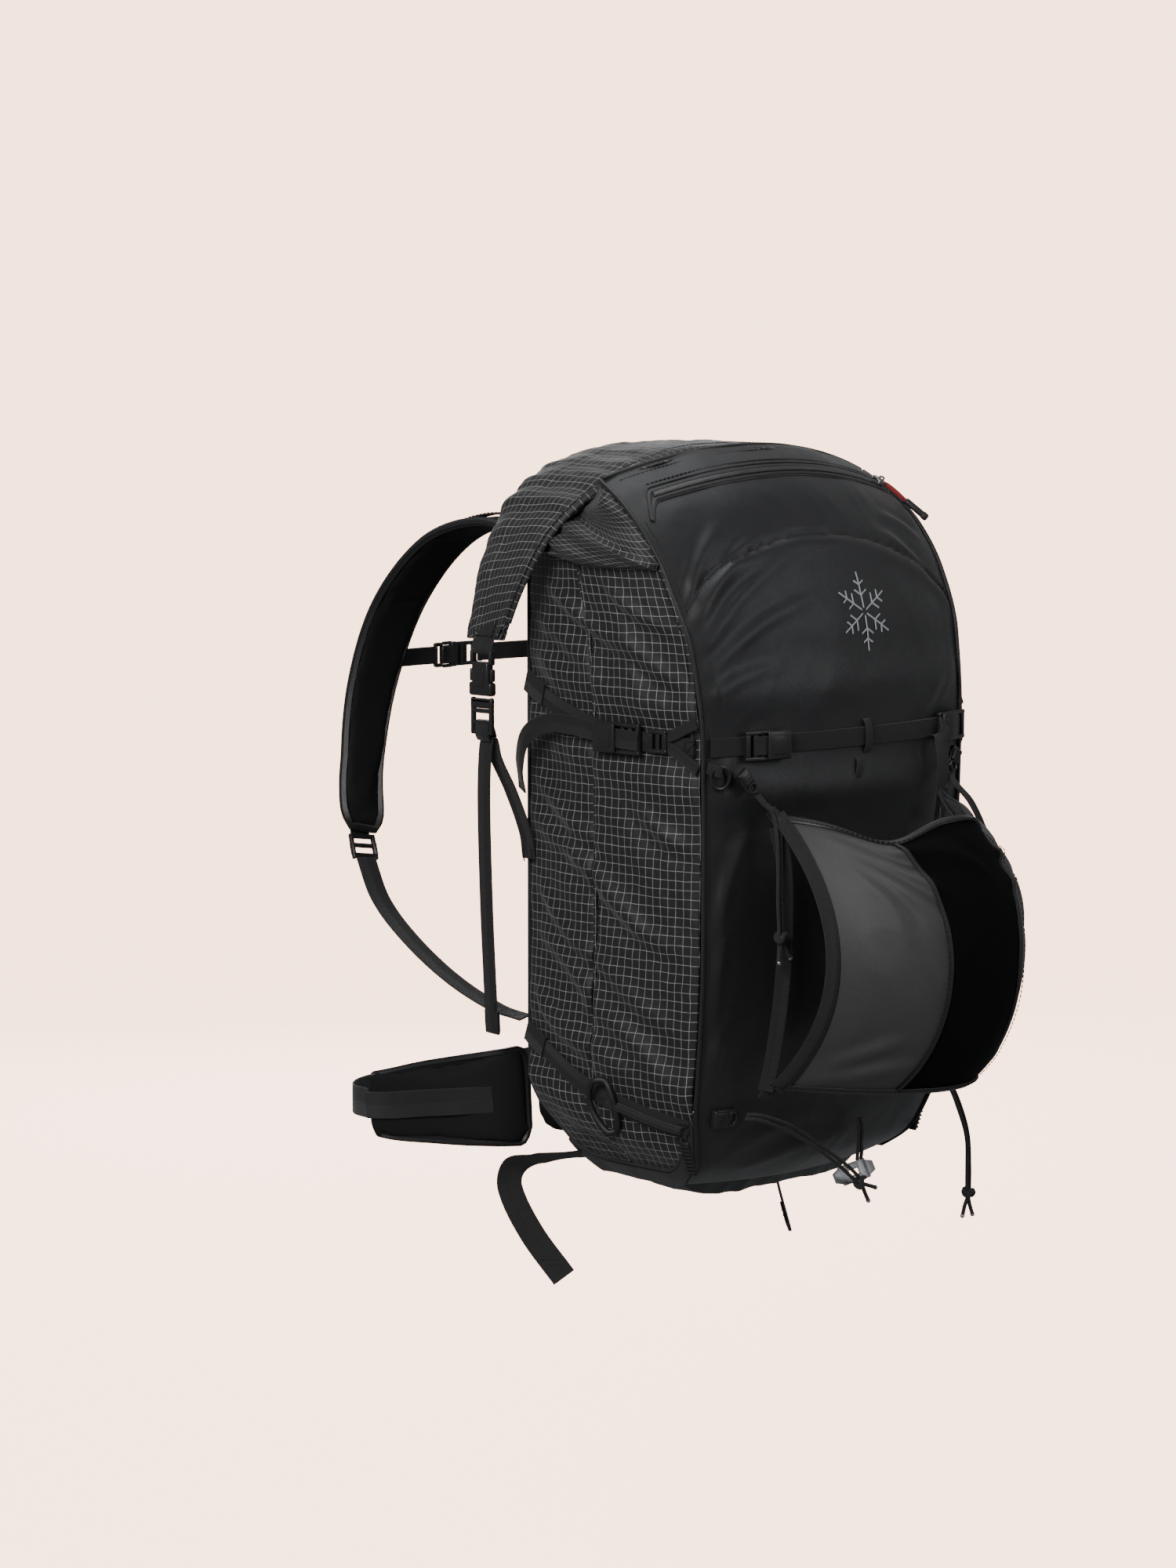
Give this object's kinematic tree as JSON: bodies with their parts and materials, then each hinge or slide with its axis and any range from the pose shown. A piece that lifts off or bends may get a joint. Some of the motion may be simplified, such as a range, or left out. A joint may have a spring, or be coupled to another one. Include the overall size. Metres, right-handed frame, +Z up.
{
  "type": "ski backpack",
  "caption": "Roll-top ski touring pack with ripstop sides, fabric helmet carrier, compression straps, curved front zip, framed back and hip belt.",
  "frame": {"origin": "centre of the lumbar pad's flat face that touches the wearer", "axes": "+Z up the wearer's back, +Y out of the back panel towards the wearer, -Y out of the front panel, +X to the wearer's right"},
  "size_m": [0.383, 0.621, 0.6679],
  "materials": {
    "ripstop_fabric": "black ripstop nylon with a light grey reinforcing grid",
    "shell_fabric": "charcoal coated nylon, softly shiny",
    "lining_fabric": "dark grey lining cloth",
    "stretch_mesh": "black stretch mesh and grey stretch cloth",
    "padding": "black foam padding under woven cloth",
    "webbing": "black woven nylon webbing",
    "shock_cord": "black shock cord with a braided sheath",
    "black_plastic": "black moulded acetal",
    "frame_board": "dark grey polyethylene sheet",
    "aluminium": "light grey satin aluminium",
    "slider_metal": "bare die-cast slider",
    "zip_coil": "black laminated coil zip",
    "pull_cord": "red cord with a black tab"
  },
  "bodies": {
    "pack": {"left_side_panel": "ripstop_fabric", "right_side_panel": "ripstop_fabric", "front_panel": "shell_fabric", "back_wall": "lining_fabric", "base_panel": "shell_fabric", "frame_sheet": "frame_board", "frame_stay": "aluminium", "back_pad": "padding", "lumbar_pad": "padding", "zip_tape": "zip_coil", "left_upper_side_strap": "webbing", "right_upper_side_strap": "webbing", "left_lower_side_strap": "webbing", "right_lower_side_strap": "webbing", "front_strap": "webbing", "left_roll_strap": "webbing", "right_roll_strap": "webbing", "left_lower_cord_buckle": "black_plastic", "right_lower_cord_buckle": "black_plastic", "left_lower_cord": "shock_cord", "right_lower_cord": "shock_cord", "left_belt_tail": "webbing", "right_belt_tail": "webbing"},
    "haul_loop": {"haul_loop": "webbing"},
    "roll_top": {"roll_top": "ripstop_fabric", "left_roll_buckle_female": "black_plastic", "right_roll_buckle_female": "black_plastic"},
    "helmet_carrier": {"carrier_panel": "stretch_mesh", "left_upper_cord_hook": "black_plastic", "right_upper_cord_hook": "black_plastic", "left_upper_cord": "shock_cord", "right_upper_cord": "shock_cord"},
    "zip_slider": {"zip_slider": "slider_metal"},
    "zip_pull": {"zip_pull": "pull_cord"},
    "axe_toggle": {"axe_toggle": "aluminium", "axe_toggle_cord": "shock_cord"},
    "left_roll_buckle": {"left_roll_buckle_male": "black_plastic"},
    "left_side_buckle": {"left_side_buckle": "black_plastic"},
    "left_front_buckle": {"left_front_buckle": "black_plastic"},
    "left_shoulder_strap": {"left_shoulder_pad": "padding", "left_shoulder_webbing": "webbing", "left_ladder_lock": "black_plastic"},
    "left_sternum_strap": {"left_sternum_slider": "black_plastic", "left_sternum_strap": "webbing", "sternum_buckle_female": "black_plastic"},
    "left_hip_wing": {"left_hip_wing": "padding", "left_hip_webbing": "webbing", "hip_buckle_female": "black_plastic"},
    "right_roll_buckle": {"right_roll_buckle_male": "black_plastic"},
    "right_side_buckle": {"right_side_buckle": "black_plastic"},
    "right_front_buckle": {"right_front_buckle": "black_plastic"},
    "right_shoulder_strap": {"right_shoulder_pad": "padding", "right_shoulder_webbing": "webbing", "right_ladder_lock": "black_plastic"},
    "right_sternum_strap": {"right_sternum_slider": "black_plastic", "right_sternum_strap": "webbing", "sternum_buckle_male": "black_plastic"},
    "right_hip_wing": {"right_hip_wing": "padding", "right_hip_webbing": "webbing", "hip_buckle_male": "black_plastic"}
  },
  "joints": [
    {"name": "roll_top_lift", "type": "slide", "parent": "pack", "child": "roll_top", "axis": [0, 0, 1], "range_m": [0, 0.15]},
    {"name": "helmet_carrier_swing", "type": "hinge", "parent": "pack", "child": "helmet_carrier", "pos_m": [0, -0.248, -0.01], "axis": [1, 0, 0], "range_deg": [0, 70]},
    {"name": "zip_travel", "type": "hinge", "parent": "pack", "child": "zip_slider", "pos_m": [0, 0.07234, 0.17331], "axis": [0, -0.762, -0.6476], "range_deg": [0, 37.89]},
    {"name": "zip_pull_swing", "type": "hinge", "parent": "zip_slider", "child": "zip_pull", "pos_m": [0.13032, -0.15591, 0.44244], "axis": [-0.8091, -0.5791, -0.1001], "range_deg": [0, 85]},
    {"name": "haul_loop_swing", "type": "hinge", "parent": "pack", "child": "haul_loop", "pos_m": [0, 0.0025, 0.398], "axis": [-1, 0, 0], "range_deg": [0, 75]},
    {"name": "axe_toggle_swing", "type": "hinge", "parent": "pack", "child": "axe_toggle", "pos_m": [0.018, -0.2345, -0.05], "axis": [0, 1, 0], "range_deg": [-45, 45]},
    {"name": "left_roll_buckle_release", "type": "slide", "parent": "pack", "child": "left_roll_buckle", "axis": [-0.2496, 0, -0.9684], "range_m": [0, 0.03]},
    {"name": "left_side_buckle_slide", "type": "slide", "parent": "pack", "child": "left_side_buckle", "axis": [-0.0242, 0.9997, 0], "range_m": [0, 0.03]},
    {"name": "left_front_buckle_slide", "type": "slide", "parent": "pack", "child": "left_front_buckle", "axis": [0.987, -0.1606, 0], "range_m": [0, 0.03]},
    {"name": "left_shoulder_strap_swing", "type": "hinge", "parent": "pack", "child": "left_shoulder_strap", "pos_m": [-0.055, -0.004, 0.345], "axis": [0.2375, 0.0358, 0.9707], "range_deg": [0, 12]},
    {"name": "left_sternum_slide", "type": "slide", "parent": "left_shoulder_strap", "child": "left_sternum_strap", "axis": [0, -0.2, 0.9798], "range_m": [-0.02, 0.02]},
    {"name": "left_hip_wing_swing", "type": "hinge", "parent": "pack", "child": "left_hip_wing", "pos_m": [-0.126, -0.007, -0.045], "axis": [0, 0, 1], "range_deg": [0, 45]},
    {"name": "right_roll_buckle_release", "type": "slide", "parent": "pack", "child": "right_roll_buckle", "axis": [0.2496, 0, -0.9684], "range_m": [0, 0.03]},
    {"name": "right_side_buckle_slide", "type": "slide", "parent": "pack", "child": "right_side_buckle", "axis": [0.0242, 0.9997, 0], "range_m": [0, 0.03]},
    {"name": "right_front_buckle_slide", "type": "slide", "parent": "pack", "child": "right_front_buckle", "axis": [-0.9783, -0.2074, 0], "range_m": [0, 0.03]},
    {"name": "right_shoulder_strap_swing", "type": "hinge", "parent": "pack", "child": "right_shoulder_strap", "pos_m": [0.055, -0.004, 0.345], "axis": [0.2375, -0.0358, -0.9707], "range_deg": [0, 12]},
    {"name": "right_sternum_slide", "type": "slide", "parent": "right_shoulder_strap", "child": "right_sternum_strap", "axis": [0, -0.2, 0.9798], "range_m": [-0.02, 0.02]},
    {"name": "right_hip_wing_swing", "type": "hinge", "parent": "pack", "child": "right_hip_wing", "pos_m": [0.126, -0.007, -0.045], "axis": [0, 0, -1], "range_deg": [0, 45]}
  ]
}
